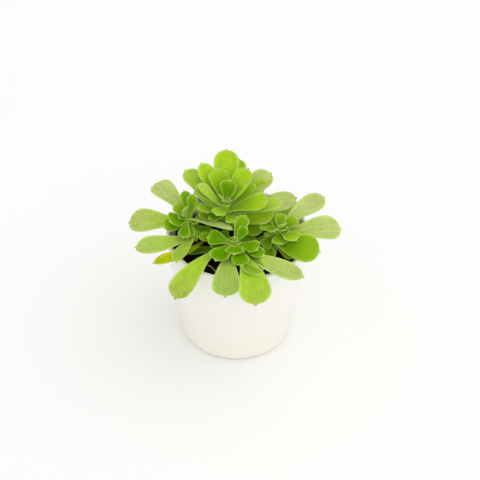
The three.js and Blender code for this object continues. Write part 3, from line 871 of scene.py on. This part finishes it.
def make_leaf_skin():
    """The skin that green and yellow leaves share. Its colour runs from young to old by how pale
    the row is and a little along the leaf. On it lie streaked veins and mottling, painted shade at
    the foot up to its reach, a paler midrib and margins, a band of painted light inside the margins,
    a greyer underside, and brown flecks and a brown tip."""
    tree = bpy.data.node_groups.new("leaf_skin", "ShaderNodeTree")
    for name in ("Young", "Grown", "Old", "Margin", "Foot Shade", "Underside", "Blush"):
        tree.interface.new_socket(name, in_out="INPUT", socket_type="NodeSocketColor")
    tree.interface.new_socket("Foot Reach", in_out="INPUT", socket_type="NodeSocketFloat")
    tree.interface.new_socket("Color", in_out="OUTPUT", socket_type="NodeSocketColor")
    for name in ("Roughness", "Height"):
        tree.interface.new_socket(name, in_out="OUTPUT", socket_type="NodeSocketFloat")
    given = tree.nodes.new("NodeGroupInput").outputs
    out = tree.nodes.new("NodeGroupOutput").inputs
    told = {
        key: add_node(tree, "ShaderNodeAttribute", attribute_name=key).outputs["Fac"] for key in SKIN_VALUES
    }
    place = add_node(tree, "ShaderNodeTexCoord").outputs["Object"]

    # Age: a leaf looks younger at its foot and older at its tip. A row's painted shade greys a leaf
    # all over towards the underside's colour, where it lies in the others' shade.
    aged = plus(tree, told["pale"], spread(tree, told["share"], 0.2, 1.0, -0.15, 0.12))
    colour = mix_colour(tree, spread(tree, aged, 0.0, 0.5), given["Young"], given["Grown"])
    colour = mix_colour(tree, spread(tree, aged, 0.5, 1.0), colour, given["Old"])
    colour = mix_colour(tree, told["dull"], colour, given["Underside"])

    # Veins: noise drawn out along the leaf, stronger on an old leaf. Then soft and fine mottling.
    drawn_out = add_node(tree, "ShaderNodeCombineXYZ", {
        "X": told["across"],
        "Y": times(tree, told["tip"], VEIN_DRAW),
        "Z": times(tree, told["seed"], VEINS_APART),
    }).outputs[0]
    veins = speckle(tree, drawn_out, VEIN_WIDTH, 3.0)
    vein_depth = times(
        tree, spread(tree, told["pale"], 0.3, 1.0, 0.5, 1.0), spread(tree, veins, 0.3, 0.7, -0.12, 0.08))
    mottle = spread(tree, speckle(tree, place, 0.005, 4.0), 0.3, 0.7, 0.95, 1.04)
    fine_mottle = spread(tree, speckle(tree, place, 0.0013, 3.0), 0.35, 0.65, 0.94, 1.05)
    colour = scale_colour(tree, colour, plus(tree, vein_depth, mottle))
    colour = scale_colour(tree, colour, fine_mottle)

    # Painted shade at the leaf's foot, where the leaves crowd at the crown, fades along the leaf. A pale
    # above 1 paints light towards the margin's colour, and the palest leaf takes it all over.
    foot_shade_share = spread(tree, told["share"], given["Foot Reach"], 0.05, 0.0, 0.6)
    colour = mix_colour(tree, foot_shade_share, colour, given["Foot Shade"])
    colour = mix_colour(tree, spread(tree, told["pale"], 1.0, 2.0), colour, given["Margin"])

    # The midrib, which shows more towards the foot, and the underside.
    off_midrib = add_node(tree, "ShaderNodeMath", {0: told["across"]}, operation="ABSOLUTE").outputs[0]
    rib_share = times(
        tree, spread(tree, off_midrib, 0.7, 0.1), spread(tree, told["share"], 0.85, 0.2, 0.02, 0.14))
    colour = mix_colour(tree, rib_share, colour, given["Margin"])
    # A pale above 1 also fades the underside's colour: more painted light on that leaf.
    under_share = times(tree, told["under"], spread(tree, told["pale"], 1.0, 2.0, 0.7, 0.15))
    colour = mix_colour(tree, under_share, colour, given["Underside"])

    # The margin: a wide faint band of painted light, as a rounded leaf looks lighter towards its rim,
    # and a fine line of the margin's own pale colour, both lighter on an older leaf.
    rim = mix_colour(tree, spread(tree, aged, 0.0, 0.7, 0.3, 1.0), given["Grown"], given["Margin"])
    colour = mix_colour(tree, spread(tree, told["edge"], 3.5, 0.4, 0.0, 0.15), colour, rim)
    colour = mix_colour(tree, spread(tree, told["edge"], 0.95, 0.35, 0.0, 0.95), colour, rim)

    # Brown: flecks over the end of a leaf, by how brown its row says, and the last millimetres.
    fleck = times(
        tree, spread(tree, speckle(tree, place, 0.004, 3.0), 0.4, 0.66, 0.25, 1.0),
        spread(tree, told["share"], 0.6, 1.0))
    fleck = times(tree, times(tree, fleck, told["blush"]), FLECK_STRENGTH)
    colour = mix_colour(tree, fleck, colour, given["Blush"])
    tip_share = times(tree, spread(tree, told["tip"], 2.0, 0.5), spread(tree, aged, 0.2, 0.7, 0.05, 0.55))
    colour = mix_colour(tree, tip_share, colour, given["Blush"])

    tree.links.new(colour, out["Color"])
    tree.links.new(spread(tree, speckle(tree, place, 0.003), 0.3, 0.7, 0.48, 0.66), out["Roughness"])
    velvet = plus(tree, speckle(tree, place, 0.0006), times(tree, veins, VEIN_RELIEF))
    tree.links.new(velvet, out["Height"])
    return tree


leaf_skin = make_leaf_skin()
LEAF_TINTS = {
    "Young": (0.125, 0.31, 0.001, 1),
    "Grown": (0.40, 0.62, 0.022, 1),
    "Old": (0.51, 0.60, 0.19, 1),
    "Margin": (0.58, 0.74, 0.22, 1),
    # The foot's colour is painted shade, where the leaves crowd together at the crown.
    "Foot Shade": (0.24, 0.39, 0.03, 1),
    "Foot Reach": 0.45,
    "Underside": (0.33, 0.46, 0.11, 1),
    "Blush": (0.30, 0.17, 0.06, 1),
}


def leaf_material(name, tints):
    """Fleshy velvet leaf: the shared skin with its own tints, a little light through the flesh
    and hardly any shine, as short hairs cover it."""
    material, tree, surface = new_material(name)
    skin = add_node(tree, "ShaderNodeGroup", tints, node_tree=leaf_skin)
    tree.links.new(skin.outputs["Color"], surface.inputs["Base Color"])
    tree.links.new(skin.outputs["Roughness"], surface.inputs["Roughness"])
    relief = add_node(tree, "ShaderNodeBump", {
        "Height": skin.outputs["Height"], "Strength": 0.35, "Distance": 0.0004,
    })
    tree.links.new(relief.outputs["Normal"], surface.inputs["Normal"])
    surface.inputs["Specular IOR Level"].default_value = 0.0
    surface.inputs["Subsurface Weight"].default_value = 0.25
    surface.inputs["Subsurface Radius"].default_value = (0.6, 1.0, 0.2)
    surface.inputs["Subsurface Scale"].default_value = 0.0018
    return material


green_leaf = leaf_material("green_leaf", LEAF_TINTS)
for number, (name, plan) in enumerate(ROSETTES.items()):
    crown, down = axis_of(plan)
    parts = [green_shoot(crown, down, plan["core"])]
    for k, leaf in enumerate([Leaf(*row) for row in LEAVES[name]] + bud_leaves(down)):
        base = crown + down * leaf.drop
        seed = SEEDS_PER_ROSETTE * number + k
        parts.append(blade(base, leaf, seed))
        if leaf.length > HAIRY_LENGTH:
            parts.append(margin_hairs(base, leaf, seed))
    rosette = make_mesh(f"leaves_{name}", *join(parts))
    rosette.data.materials.append(green_leaf)
    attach(rosette, "root")
    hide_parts(f"rosette_{name}")


# One old leaf at the left has turned yellow from want of light and browned at its tip. It has
# come away from its shoot and lies on its place between the others, a small gap clear of it.
YELLOW_LEAF = Leaf(-103, 18, 55, 12, 30, 5, -70, 24, 1.0, 1.0)
YELLOW_GAP = 1.6
YELLOW_SEED = 900
CORE_RADIUS = 2.6
YELLOW_TINTS = {
    "Young": (0.46, 0.60, 0.008, 1),
    "Grown": (0.52, 0.65, 0.006, 1),
    "Old": (0.56, 0.66, 0.005, 1),
    "Margin": (0.55, 0.60, 0.05, 1),
    # The near-black foot, reaching far up the leaf, is painted shade where the leaf lies under the others.
    "Foot Shade": (0.05, 0.075, 0.008, 1),
    "Foot Reach": 0.85,
    "Underside": (0.50, 0.50, 0.06, 1),
    "Blush": (0.16, 0.07, 0.012, 1),
}

crown, down = axis_of(ROSETTES["left"])
outward = heading(*angles_at(YELLOW_LEAF, 0))
yellow_foot = crown + down * YELLOW_LEAF.drop + outward * (CORE_RADIUS + YELLOW_GAP)
yellow = make_mesh("old_yellow_leaf", *join([
    blade(yellow_foot, YELLOW_LEAF, YELLOW_SEED), margin_hairs(yellow_foot, YELLOW_LEAF, YELLOW_SEED),
]))
yellow.data.materials.append(leaf_material("yellow_leaf", YELLOW_TINTS))
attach(yellow, "root")
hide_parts("leaf_yellow")
